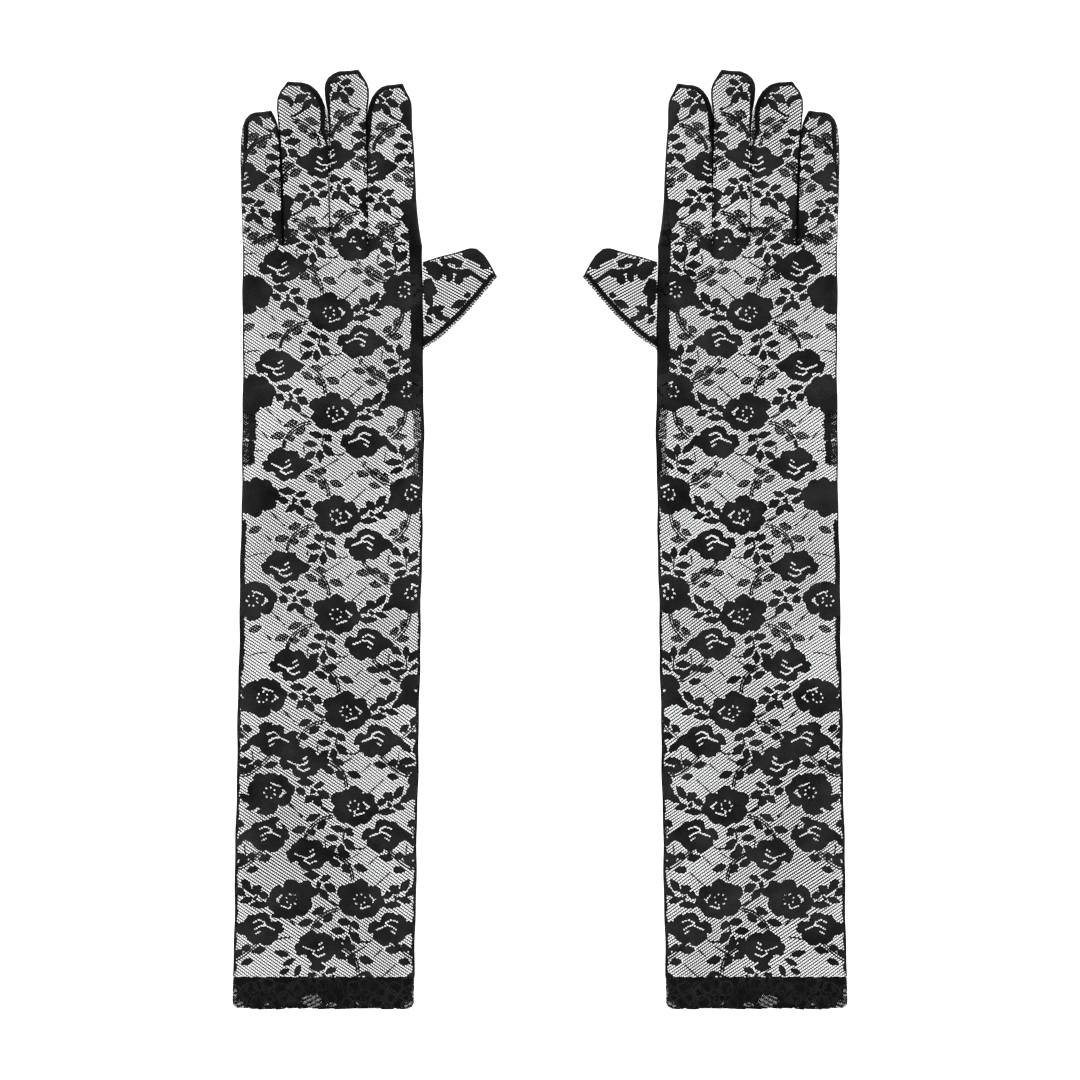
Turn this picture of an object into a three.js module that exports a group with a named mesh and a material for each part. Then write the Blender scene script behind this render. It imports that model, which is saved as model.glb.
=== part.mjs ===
// A pair of long lace opera gloves, lying flat side by side with the palms down.
// Millimetres. +X is to the right, +Y runs to the fingertips and +Z is up. The origin is
// on the surface that the gloves lie on, at the middle of the pair.
//
// Each glove is cut as a back panel and a palm panel that are joined by side seams. Each
// finger and the thumb is a stall with a back, a palm and a side strip sewn round it, and
// the open end of the sleeve has a doubled hem band. The back panels arch over the palm
// panels, so that a hand and an arm can go in.
//
// A glove's own frame has x = 0 on the centre line of the hand and y = 0 at the wrist.
import * as THREE from 'three';

// Lengths along the glove
const handLength = 97.5;
const forearmLength = 140;
const upperSleeveLength = 128.5;
const hemHeight = 16.5;

// Widths across the flat glove
const wristWidth = 90.5;
const hemWidth = 90.5;
const gloveSpacing = 207;
const knuckleShift = -0.75; // the finger end sits this far to the little-finger side
const sleeveLean = -5; // and the hem end this far

// Fingers from the outer edge of the hand to the inner edge, above the left hand's palm
const fingers = [
  { name: 'little', baseWidth: 20.5, tipWidth: 18.5, length: 66.5 },
  { name: 'ring', baseWidth: 23, tipWidth: 23, length: 81.5 },
  { name: 'middle', baseWidth: 19.5, tipWidth: 21.5, length: 87.5 },
  { name: 'index', baseWidth: 26.5, tipWidth: 22, length: 80.5 },
];
const tipShift = -0.5; // the row of tips, against the row of finger bases
const fingerTipDepth = 7;

// The thumb leaves the inner edge of the hand between two heights above the wrist
const thumbBaseLow = 45;
const thumbBaseHigh = 89;
const thumbReach = 30.5; // from the hand's edge to the middle of the tip line
const thumbRise = 23; // from the middle of the base to the middle of the tip line
const thumbTipWidth = 15.6;
const thumbTipSlope = 0.84; // slope of the thumb's own direction at the tip
const thumbTipDepth = 4.5;

// Fabric, seams and loft
const fabric = 0.8; // one lace panel with its raised motifs
const hemFabric = 1.2; // the doubled band
const seamWidth = 3;
const allowanceWidth = 6.5; // the folded seam allowance on the thumb side of the hand
const crown = 6.6; // height of the back panel's top surface
const handRise = 20; // run from a side seam up to the full crown, on the hand and sleeve
const stallRise = 7; // the same on a finger or the thumb

// Clearances
const seamClearance = 0.3; // between neighbouring panels in the plane of the glove
const layerClearance = 0.4; // between a side seam and the back panel above it
const foldGap = 0.6; // between two pieces that meet at a fold line
const fingerGap = 0.6; // between neighbouring fingers

// Mesh steps
const handColumns = 12;
const stallColumns = 8;
const stallBodyRows = 2;
const stallTipRows = 5;
const tipEndAngle = THREE.MathUtils.degToRad(72); // the tip ends in a short flat

const laceMaterial = new THREE.MeshStandardMaterial({ color: 0x1c1c1c, roughness: 0.85, metalness: 0 });
const seamMaterial = new THREE.MeshStandardMaterial({ color: 0x151515, roughness: 0.75, metalness: 0 });
const hemMaterial = new THREE.MeshStandardMaterial({ color: 0x191919, roughness: 0.8, metalness: 0 });

const sleeveLength = forearmLength + upperSleeveLength + hemHeight;
const knuckleWidth = fingers.reduce((sum, finger) => sum + finger.baseWidth, 0);
const lerp = THREE.MathUtils.lerp;
const along = (from, to, share) => new THREE.Vector2().lerpVectors(from, to, share);

// The hand and sleeve's edges at height y, as x on the outer and on the inner side
function handEdges(y) {
  const share = y < 0 ? -y / sleeveLength : y / handLength;
  const width = lerp(wristWidth, y < 0 ? hemWidth : knuckleWidth, share);
  const centre = share * (y < 0 ? sleeveLean : knuckleShift);
  return { outer: centre - width / 2, inner: centre + width / 2 };
}

// Paired points on the two sides of a straight section, a margin in from each edge
function sectionSides(fromY, toY, outerMargin = 0, innerMargin = 0) {
  const side = (edge, margin) =>
    [fromY, toY].map((y) => new THREE.Vector2(handEdges(y)[edge] + margin, y));
  return { left: side('outer', outerMargin), right: side('inner', -innerMargin) };
}

// Paired points on the two sides of a stall, running from its base to its rounded tip
function stallSides(stall, inset = 0) {
  const { baseLeft, baseRight, tipLeft, tipRight, tipDepth } = stall;
  const inward = (from, to) => to.clone().sub(from).setLength(inset).add(from);
  const base = [inward(baseLeft, baseRight), inward(baseRight, baseLeft)];
  const tip = [inward(tipLeft, tipRight), inward(tipRight, tipLeft)];
  const centre = along(tip[0], tip[1], 0.5);
  const halfTip = tip[1].clone().sub(centre);
  const forward = new THREE.Vector2(-halfTip.y, halfTip.x).setLength(tipDepth - inset);
  const left = [];
  const right = [];
  for (let row = 0; row < stallBodyRows; row++) {
    left.push(along(base[0], tip[0], row / stallBodyRows));
    right.push(along(base[1], tip[1], row / stallBodyRows));
  }
  for (let row = 0; row <= stallTipRows; row++) {
    const angle = (tipEndAngle * row) / stallTipRows;
    const middle = centre.clone().addScaledVector(forward, Math.sin(angle));
    left.push(middle.clone().addScaledVector(halfTip, -Math.cos(angle)));
    right.push(middle.clone().addScaledVector(halfTip, Math.cos(angle)));
  }
  return { left, right };
}

// A flat piece of fabric lying on the surface, from its outline
function flatPanel(points, thickness) {
  return new THREE.ExtrudeGeometry(new THREE.Shape(points), { depth: thickness, bevelEnabled: false });
}

function flatPanelBetween(sides, thickness) {
  return flatPanel([...sides.right, ...sides.left.slice().reverse()], thickness);
}

// Underside of a back panel, at a distance in from the nearest sewn edge
function archHeight(distance, rise, thickness) {
  const atEdge = fabric + layerClearance;
  const climb = Math.min(distance / rise, 1);
  return atEdge + (crown - thickness - atEdge) * Math.sqrt(1 - (1 - climb) ** 2);
}

// A back panel: a box whose grid is carried onto an arch between two rows of side points.
// Columns crowd towards the edges, where the arch is steep.
function archedPanel(sides, { rise, columns, thickness = fabric, closedTip = false }) {
  const rows = sides.left.length - 1;
  const geometry = new THREE.BoxGeometry(1, 1, 1, columns, rows, 1);
  const position = geometry.attributes.position;
  const tipPoint = along(sides.left[rows], sides.right[rows], 0.5);
  for (let i = 0; i < position.count; i++) {
    const row = Math.round((position.getY(i) + 0.5) * rows);
    const share = (1 - Math.cos(Math.PI * (position.getX(i) + 0.5))) / 2;
    const left = sides.left[row];
    const right = sides.right[row];
    const point = along(left, right, share);
    const toSide = Math.min(share, 1 - share) * left.distanceTo(right);
    const toTip = closedTip ? along(left, right, 0.5).distanceTo(tipPoint) : Infinity;
    const underside = archHeight(Math.min(toSide, toTip), rise, thickness);
    position.setXYZ(i, point.x, point.y, underside + (position.getZ(i) > 0 ? thickness : 0));
  }
  geometry.computeVertexNormals();
  return geometry;
}

function addPiece(glove, name, geometry, material = laceMaterial) {
  const mesh = new THREE.Mesh(geometry, material);
  mesh.name = name;
  glove.add(mesh);
}

// Back, palm and two side seams of a straight section of the hand or sleeve
function addSection(glove, name, lowY, highY, innerSeamWidth = seamWidth) {
  const fromY = lowY + foldGap / 2;
  const toY = highY - foldGap / 2;
  const whole = sectionSides(fromY, toY);
  const outerInset = seamWidth + seamClearance;
  const innerInset = innerSeamWidth + seamClearance;
  const palm = sectionSides(fromY, toY, outerInset, innerInset);
  const outerLine = sectionSides(fromY, toY, seamWidth).left;
  const innerLine = sectionSides(fromY, toY, 0, innerSeamWidth).right;
  const outerSeam = { left: whole.left, right: outerLine };
  const innerSeam = { left: innerLine, right: whole.right };
  addPiece(glove, `${name}_back`, archedPanel(whole, { rise: handRise, columns: handColumns }));
  addPiece(glove, `${name}_palm`, flatPanelBetween(palm, fabric));
  addPiece(glove, `${name}_outer_seam`, flatPanelBetween(outerSeam, fabric), seamMaterial);
  addPiece(glove, `${name}_inner_seam`, flatPanelBetween(innerSeam, fabric), seamMaterial);
}

// The doubled band round the open end of the sleeve
function addHem(glove, name, lowY, highY) {
  const sides = sectionSides(lowY, highY - foldGap / 2);
  const palm = flatPanelBetween(sides, hemFabric);
  const back = archedPanel(sides, { rise: handRise, columns: handColumns, thickness: hemFabric });
  back.translate(0, 0, hemFabric - fabric);
  addPiece(glove, `${name}_back`, back, hemMaterial);
  addPiece(glove, `${name}_palm`, palm, hemMaterial);
}

// Back, palm and side strip of a finger or the thumb
function addStall(glove, name, stall) {
  const whole = stallSides(stall);
  const inner = stallSides(stall, seamWidth);
  const palm = stallSides(stall, seamWidth + seamClearance);
  const back = archedPanel(whole, { rise: stallRise, columns: stallColumns, closedTip: true });
  const outside = [...whole.left, ...whole.right.slice().reverse()];
  const inside = [...inner.right, ...inner.left.slice().reverse()];
  addPiece(glove, `${name}_back`, back);
  addPiece(glove, `${name}_palm`, flatPanelBetween(palm, fabric));
  addPiece(glove, `${name}_side_strip`, flatPanel([...outside, ...inside], fabric), seamMaterial);
}

function addFingers(glove, prefix) {
  const baseY = handLength + foldGap / 2;
  let baseX = handEdges(handLength).outer;
  let tipX = baseX + tipShift;
  for (const finger of fingers) {
    const arcDepth = fingerTipDepth * Math.sin(tipEndAngle);
    const tipY = handLength + finger.length - arcDepth;
    addStall(glove, `${prefix}_${finger.name}`, {
      baseLeft: new THREE.Vector2(baseX + fingerGap / 2, baseY),
      baseRight: new THREE.Vector2(baseX + finger.baseWidth - fingerGap / 2, baseY),
      tipLeft: new THREE.Vector2(tipX + fingerGap / 2, tipY),
      tipRight: new THREE.Vector2(tipX + finger.tipWidth - fingerGap / 2, tipY),
      tipDepth: fingerTipDepth,
    });
    baseX += finger.baseWidth;
    tipX += finger.tipWidth;
  }
}

// The thumb's base runs along the hand's inner edge, so its left side is the upper one
function addThumb(glove, prefix) {
  const baseAt = (y) => new THREE.Vector2(handEdges(y).inner + foldGap, y);
  const baseMiddle = along(baseAt(thumbBaseLow), baseAt(thumbBaseHigh), 0.5);
  const tipMiddle = baseMiddle.clone().add(new THREE.Vector2(thumbReach, thumbRise));
  const acrossTip = new THREE.Vector2(thumbTipSlope, -1).setLength(thumbTipWidth / 2);
  addStall(glove, `${prefix}_thumb`, {
    baseLeft: baseAt(thumbBaseHigh),
    baseRight: baseAt(thumbBaseLow),
    tipLeft: tipMiddle.clone().sub(acrossTip),
    tipRight: tipMiddle.clone().add(acrossTip),
    tipDepth: thumbTipDepth,
  });
}

function makeGlove(prefix) {
  const glove = new THREE.Group();
  const foldY = -forearmLength;
  const hemY = foldY - upperSleeveLength;
  addSection(glove, `${prefix}_hand`, 0, handLength, allowanceWidth);
  addSection(glove, `${prefix}_forearm`, foldY, 0);
  addSection(glove, `${prefix}_upper_sleeve`, hemY, foldY);
  addHem(glove, `${prefix}_hem`, hemY - hemHeight, hemY);
  addFingers(glove, prefix);
  addThumb(glove, prefix);
  return glove;
}

// The right glove is the mirror image of the left one
const longestFinger = Math.max(...fingers.map((finger) => finger.length));
const middleY = (handLength + longestFinger - sleeveLength) / 2;
const pair = new THREE.Group();
for (const [prefix, side] of [['left', -1], ['right', 1]]) {
  const glove = makeGlove(prefix);
  glove.scale.x = -side;
  glove.position.set((side * gloveSpacing) / 2, -middleY, 0);
  pair.add(glove);
}

export default pair;
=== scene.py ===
"""A pair of black floral-lace opera gloves, lying flat with the backs up.

The lace is real geometry: a hexagonal net whose cells are closed wherever a motif lies. The
sizes below are in millimetres, in the left glove's place. The right glove mirrors it.
"""
import math

import bpy
import numpy as np
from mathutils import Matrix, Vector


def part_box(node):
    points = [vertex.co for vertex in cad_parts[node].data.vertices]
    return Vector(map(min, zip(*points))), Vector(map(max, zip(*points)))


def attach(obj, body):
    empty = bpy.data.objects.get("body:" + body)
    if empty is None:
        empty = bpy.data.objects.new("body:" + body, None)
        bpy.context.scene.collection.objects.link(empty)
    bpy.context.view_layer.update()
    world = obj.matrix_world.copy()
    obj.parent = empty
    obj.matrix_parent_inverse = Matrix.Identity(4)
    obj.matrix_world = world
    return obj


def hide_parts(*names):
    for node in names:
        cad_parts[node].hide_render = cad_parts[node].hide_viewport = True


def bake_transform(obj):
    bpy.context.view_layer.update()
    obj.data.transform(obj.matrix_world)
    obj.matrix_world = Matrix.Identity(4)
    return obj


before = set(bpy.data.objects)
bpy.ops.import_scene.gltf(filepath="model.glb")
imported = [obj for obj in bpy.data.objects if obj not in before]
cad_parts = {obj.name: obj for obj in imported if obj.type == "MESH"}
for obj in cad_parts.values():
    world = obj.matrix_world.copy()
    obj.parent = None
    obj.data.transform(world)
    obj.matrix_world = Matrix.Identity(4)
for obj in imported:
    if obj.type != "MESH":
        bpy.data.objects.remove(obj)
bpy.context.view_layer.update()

MM = 0.001


def cad_box_mm(node):
    """Lowest and highest corner of a CAD node, in millimetres."""
    low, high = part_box(node)
    return np.array(low) / MM, np.array(high) / MM


# --- lines of the cut, from the CAD
hand_low, hand_high = cad_box_mm("left_hand_back")
forearm_low, forearm_high = cad_box_mm("left_forearm_back")
sleeve_low, sleeve_high = cad_box_mm("left_upper_sleeve_back")
hem_low, hem_high = cad_box_mm("left_hem_back")
little_low, _ = cad_box_mm("left_little_back")

KNUCKLE_Y = (hand_high[1] + little_low[1]) / 2
WRIST_Y = (forearm_high[1] + hand_low[1]) / 2
FOLD_Y = (sleeve_high[1] + forearm_low[1]) / 2
HEM_Y = (hem_high[1] + sleeve_low[1]) / 2
OPENING_Y = hem_low[1]
CENTRE_X = -103.5
BACK_TOP = hand_high[2] - 0.35  # leaves the CAD box room for relief and cords
HEM_TOP = hem_high[2] - 0.5

# --- sizes of fabric and loft
EDGE_HEIGHT = 1.3  # height of the back panel where the side seam takes it
SEAM_HEIGHT = EDGE_HEIGHT - 0.2
ALLOWANCE_HEIGHT = 0.95  # folded allowances lie between the palm and the back
PALM_HEIGHT = 0.75
HAND_RISE = 20.0  # from a side seam up to the full crown
STALL_RISE = 7.0  # the same on a finger or the thumb
KNUCKLE_BLEND = 16.0  # the hand's one arch turns into the fingers' arches over this length

NET_PITCH = 1.15  # from cell to cell along a row
NET_STRETCH = 1.36  # rows are this much further apart than in a regular net
NET_OPENING = 0.71  # share of a cell's radius that its hole takes
ALONG_ROWS, ACROSS_ROWS = 1.16, 0.79  # how the hole is drawn out along the net's rows
VEIL_OPENING = 0.29  # the same share in the thinly worked leaves
EYELET_OPENING = 0.9  # the same where an eyelet is
THREAD_RIDGE = 0.10  # how far the net's threads stand up
MOTIF_RELIEF = 0.24  # how far a motif's highest part does
MOTIF_SPREAD = 0.12  # motifs grow by this much
THICKEST_CORD = 0.9  # a wider stem is drawn into the lace
LEAST_OPENING = 0.12  # a cell with less room than this is closed
EYELET_WIDTH = 1.1

FIELD_STEP = 0.12
FIELD_MARGIN = 1.5  # a motif's distance is kept up to here
FAR = 9.0  # the distance where there is no motif

OUTLINE_STEP, EDGE_STEP = 4.0, 3.0
STALL_DROP = 40.0  # how far a finger's outline is carried on below the knuckles


def smoothstep(low, high, value):
    share = np.clip((value - low) / (high - low), 0, 1)
    return share * share * (3 - 2 * share)


# --- outlines
HALF_WIDTH, KNUCKLES_NARROWER = 45.35, 0.45
HAND_LENGTH, HAND_DRIFT = 97.5, 0.35  # above the wrist, and how far its middle shifts to the left
SLEEVE_LENGTH, SLEEVE_DRIFT = 285, 5  # the same below the wrist


def side_edges(y):
    """Left and right edge of the hand and sleeve at a height y, slightly uneven."""
    below = np.clip((WRIST_Y - y) / SLEEVE_LENGTH, 0, None)
    above = np.clip((y - WRIST_Y) / HAND_LENGTH, 0, 1)
    centre = CENTRE_X - SLEEVE_DRIFT * below - HAND_DRIFT * above
    half = HALF_WIDTH - KNUCKLES_NARROWER * above
    left = centre - half + 0.18 * np.sin(y / 11.0) + 0.12 * np.sin(y / 4.3 + 1)
    right = centre + half + 0.18 * np.sin(y / 9.0 + 2) + 0.12 * np.sin(y / 3.9)
    return left, right


# The fingers' outlines, and the borders that two of them share
LITTLE_RING = [(-128.6, 147.5), (-129.2, 180), (-129.9, 195), (-130.8, 205)]
MIDDLE_INDEX = [(-86.0, 147.5), (-86.3, 170), (-86.6, 195), (-86.8, 205), (-86.6, 212)]
LITTLE = [
    (-148.9, 147.5), (-149.6, 170), (-150.1, 190), (-149.8, 200), (-149.0, 207),
    (-147.5, 210.8), (-145.3, 213.2), (-142.5, 214.2), (-138.5, 214.4), (-134.5, 215.2),
    (-132.6, 211.5), (-131.4, 208.3), *LITTLE_RING[::-1],
]
RING = [
    *LITTLE_RING, (-131.4, 212),
    (-131.8, 216), (-131.6, 221), (-130, 225), (-128, 227.2), (-126.6, 229.7),
    (-122.5, 229.3), (-119, 229.2), (-115, 228), (-111.5, 225), (-109, 221),
    (-107.2, 216), (-106.0, 212), (-105.4, 205), (-105.3, 197), (-105.2, 147.5),
]
MIDDLE = [
    (-105.2, 147.5), (-105.3, 195), (-105.4, 205), (-106.0, 212), (-107.5, 220),
    (-108, 226), (-107.5, 229), (-106.3, 231.3), (-103.8, 233.4), (-100.5, 234.8),
    (-96, 234.9), (-90.7, 235.6), (-88.2, 231.5), (-86.6, 229), (-85.6, 226),
    (-85.5, 222), (-86.1, 217), *MIDDLE_INDEX[::-1],
]
INDEX = [
    *MIDDLE_INDEX, (-85.9, 217), (-84.2, 221.5), (-82, 224.7), (-79.5, 226.8), (-76.5, 227.8),
    (-73, 228.0), (-68.7, 228.8), (-67, 224.7), (-65.3, 221.8), (-64.3, 219),
    (-64, 215), (-64, 207), (-63.3, 200), (-62.7, 190), (-62.2, 180),
    (-61.9, 170), (-61, 160), (-60, 153), (-59.0, 147.5),
]
THUMB = [
    (-58.75, 94.9), (-58.75, 139.2), (-50.9, 141.8), (-42, 144), (-35.5, 146.2),
    (-31.8, 146.1), (-28, 143), (-25.4, 139.2), (-22.8, 134.4), (-21.4, 131.6),
    (-22.8, 129.8), (-31.8, 118.9), (-42, 108), (-50.9, 100.3),
]
FINGERS = {"little": LITTLE, "ring": RING, "middle": MIDDLE, "index": INDEX}


def body_outline(low_y, high_y):
    rows = np.linspace(low_y, high_y, max(2, int((high_y - low_y) / OUTLINE_STEP) + 1))
    left, right = side_edges(rows)
    up = np.column_stack([left, rows])
    down = np.column_stack([right, rows])[::-1]
    return np.vstack([up, down])


def stall_outline(points):
    """A finger's outline with a longer base, so that the knuckle line isn't an edge."""
    points = np.array(points, float)
    return np.vstack([points[0] - (0, STALL_DROP), points, points[-1] - (0, STALL_DROP)])


def polygon_distance(points, polygon):
    """Signed distance to a polygon, below 0 inside, and the nearest point on its edge."""
    x, y = points.T
    best = np.full(len(points), np.inf)
    nearest = np.zeros_like(points)
    inside = np.zeros(len(points), bool)
    for (ax, ay), (dx, dy) in zip(polygon, np.roll(polygon, -1, axis=0) - polygon):
        px, py = x - ax, y - ay
        share = np.clip((px * dx + py * dy) / max(dx * dx + dy * dy, 1e-12), 0, 1)
        distance = (px - share * dx) ** 2 + (py - share * dy) ** 2
        closer = distance < best
        best[closer] = distance[closer]
        nearest[closer, 0] = ax + share[closer] * dx
        nearest[closer, 1] = ay + share[closer] * dy
        if dy != 0:
            inside ^= ((ay > y) != (ay + dy > y)) & (x < ax + py * dx / dy)
    return np.where(inside, -1, 1) * np.sqrt(best), nearest


def polygon_area(polygon):
    x, y = polygon[:, 0], polygon[:, 1]
    return abs(np.dot(x, np.roll(y, -1)) - np.dot(y, np.roll(x, -1))) / 2


# --- height of the back panels
def arch(distance, rise, top):
    share = np.clip(distance / rise, 0, 1)
    return EDGE_HEIGHT + (top - EDGE_HEIGHT) * np.sqrt(1 - (1 - share) ** 2)


STALLS = {name: stall_outline(points) for name, points in FINGERS.items()}


def stall_depths(points):
    """How far each point lies inside each finger's outline, one row for each finger."""
    return np.array([-polygon_distance(points, outline)[0] for outline in STALLS.values()])


def edge_depth(points):
    """How far each point lies inside the hand's and sleeve's edges."""
    x, y = points.T
    left, right = side_edges(y)
    return np.clip(np.minimum(x - left, right - x), 0, None)


def back_height(points):
    y = points[:, 1]
    height = arch(edge_depth(points), HAND_RISE, BACK_TOP)
    near = y > KNUCKLE_Y - KNUCKLE_BLEND
    if near.any():
        depth = stall_depths(points[near]).max(axis=0)
        stalls = arch(np.maximum(depth, 0), STALL_RISE, BACK_TOP)
        share = smoothstep(KNUCKLE_Y - KNUCKLE_BLEND, KNUCKLE_Y - 1, y[near])
        height[near] = height[near] * (1 - share) + stalls * share
    return height


def thumb_height(points):
    depth = np.clip(-polygon_distance(points, np.array(THUMB))[0], 0, None)
    return arch(depth, STALL_RISE, BACK_TOP)


def hem_height(points):
    return arch(edge_depth(points), HAND_RISE, HEM_TOP)


def level(value):
    """A height, opening or choice that is the same everywhere."""
    return lambda points: np.full(len(points), value)


palm_height = level(PALM_HEIGHT)
seam_height = level(SEAM_HEIGHT)
allowance_height = level(ALLOWANCE_HEIGHT)
plain_opening = level(NET_OPENING)


# --- the motifs, drawn into a field
class MotifField:
    """Distance to the nearest motif, its relief and its eyelets, on a grid over the lace."""

    def __init__(self, low, high):
        self.low = np.array(low, float)
        shape = np.ceil((np.array(high) - self.low) / FIELD_STEP).astype(int) + 1
        self.distance, self.eyelet, self.veil = (np.full(shape, FAR, np.float32) for _ in range(3))
        self.relief = np.zeros(shape, np.float32)
        self.threads = []

    def _window(self, low, high):
        first = np.floor((np.array(low) - self.low) / FIELD_STEP).astype(int)
        last = np.ceil((np.array(high) - self.low) / FIELD_STEP).astype(int) + 1
        first = np.clip(first, 0, self.distance.shape)
        last = np.clip(last, 0, self.distance.shape)
        if (last <= first).any():
            return None, None, None
        rows = self.low[0] + FIELD_STEP * np.arange(first[0], last[0])
        columns = self.low[1] + FIELD_STEP * np.arange(first[1], last[1])
        x, y = np.meshgrid(rows, columns, indexing="ij")
        return (slice(first[0], last[0]), slice(first[1], last[1])), x, y

    def _merge(self, window, distance, relief):
        self.distance[window] = np.minimum(self.distance[window], distance)
        self.relief[window] = np.where(
            distance < 0, np.maximum(self.relief[window], relief), self.relief[window]
        )

    def _around(self, x, y, radius, turn=0.0):
        """The window about a place, and its coordinates turned and counted from that place."""
        reach = radius + FIELD_MARGIN
        window, gx, gy = self._window((x - reach, y - reach), (x + reach, y + reach))
        if window is None:
            return None, None, None
        angle = math.radians(turn)
        u = (gx - x) * math.cos(angle) + (gy - y) * math.sin(angle)
        v = (gy - y) * math.cos(angle) - (gx - x) * math.sin(angle)
        return window, u, v

    def petal(self, x, y, radius):
        """A round petal with a slightly waved rim and a domed face."""
        window, u, v = self._around(x, y, radius)
        if window is None:
            return
        rim = radius * (1 + 0.05 * np.cos(4 * np.arctan2(v, u) + x + y))
        away = np.sqrt(u * u + v * v)
        self._merge(window, away - rim, 0.35 + 0.65 * np.clip(away / rim, 0, 1) ** 2)

    def leaf(self, x, y, length, width, turn, veil=False):
        """A pointed leaf with a sunk midrib. A veil leaf is worked thinly inside its rim."""
        length *= 1.1  # the net's cells swallow the tips
        window, u, v = self._around(x, y, length / 2, turn)
        if window is None:
            return
        share = np.clip(np.abs(u) / (length / 2), 0, 1)
        half = width / 2 * (1 - share**1.5) * 1.24 + 0.12 * np.sin(4.2 * u) * (1 - share)
        beyond = np.clip(np.abs(u) - length / 2, 0, None)
        distance = np.hypot(np.abs(v) - half, beyond) * np.where(
            (np.abs(v) < half) & (beyond == 0), -1, 1
        )
        self._merge(window, distance, 0.45 + 0.45 * np.clip(np.abs(v) * 1.6, 0, 1))
        if veil:
            self.veil[window] = np.minimum(self.veil[window], distance + 0.2)

    def _along(self, points, width):
        """The windows along a bent line, and the distance to its rim in each."""
        reach = width / 2 + FIELD_MARGIN
        for (ax, ay), (bx, by) in zip(points[:-1], points[1:]):
            low = (min(ax, bx) - reach, min(ay, by) - reach)
            high = (max(ax, bx) + reach, max(ay, by) + reach)
            window, gx, gy = self._window(low, high)
            if window is None:
                continue
            dx, dy = bx - ax, by - ay
            share = np.clip(((gx - ax) * dx + (gy - ay) * dy) / max(dx * dx + dy * dy, 1e-9), 0, 1)
            yield window, np.hypot(gx - ax - share * dx, gy - ay - share * dy) - width / 2

    def line(self, points, width):
        """A stem along a bent line. A thin one is a cord laid on the net."""
        if width < THICKEST_CORD:
            self.threads.append((points, width))
            return
        for window, distance in self._along(points, width):
            self._merge(window, distance, np.float32(0.4))

    def eyelets(self, points, width):
        """A row of openings along a bent line."""
        for window, distance in self._along(points, width):
            self.eyelet[window] = np.minimum(self.eyelet[window], distance)

    def sample(self, points):
        """Distance to the motif, eyelets taken out, its relief, and whether it's thin there."""
        place = (points - self.low) / FIELD_STEP
        limit = np.array(self.distance.shape) - 2
        cell = np.clip(np.floor(place).astype(int), 0, limit)
        u, v = np.clip(place - cell, 0, 1).T
        i, j = cell.T
        values = []
        for grid in (self.distance, self.eyelet, self.relief, self.veil):
            low = grid[i, j] * (1 - u) + grid[i + 1, j] * u
            high = grid[i, j + 1] * (1 - u) + grid[i + 1, j + 1] * u
            values.append(low * (1 - v) + high * v)
        distance = np.maximum(values[0] - MOTIF_SPREAD, -values[1])
        return distance, values[2], values[3] < 0


# --- one flower row of the lace
# Offsets from the centre of the row's main rose.
ROSE_PETALS = [
    (0.3, 6.2, 3.9), (6.8, 2.8, 3.9), (8.7, -1.2, 3.7), (5.3, -4.7, 3.9), (0.9, -6.2, 3.5),
    (-4.4, -4.0, 4.2), (-7.6, -2.5, 2.8), (-7.8, 3.7, 3.4), (-4, 5, 3.1), (0, 0, 6.8),
]
ROSE_EYELETS = [
    [(5, 2.2), (6.8, 0.3), (7.8, 0), (6.5, -1.2)],
    [(0.3, -4.7), (2.8, -3.9), (5.3, -3.1)],
]
ROSE_RING, ROSE_HOLES = 2.6, 7  # radius and number of the holes round its heart

# The side-on rose, offsets from its own centre
BUD_PETALS = [
    (-1.1, 4.1, 4.3), (3.3, 2.9, 4.3), (6.6, 0.4, 3.5), (2, -2.1, 4.8),
    (-3.6, -4.2, 3.7), (-6.9, -3.0, 2.5), (-8.6, 1.3, 2.7), (-10.4, -0.2, 1.5),
    (-4.8, -0.2, 4.2),
]
BUD_POINTS = [(8.6, 0.6, 8.5, 4.6, -8)]
BUD_EYELETS = [
    [(-2.9, 3.5), (-0.1, 5), (3, 3.6)],
    [(-7.6, -0.1), (-2.6, 2.1), (0.2, 1.6), (2.3, 0.1)],
    [(-0.1, -0.9), (1.7, -2.1)],
]

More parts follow.
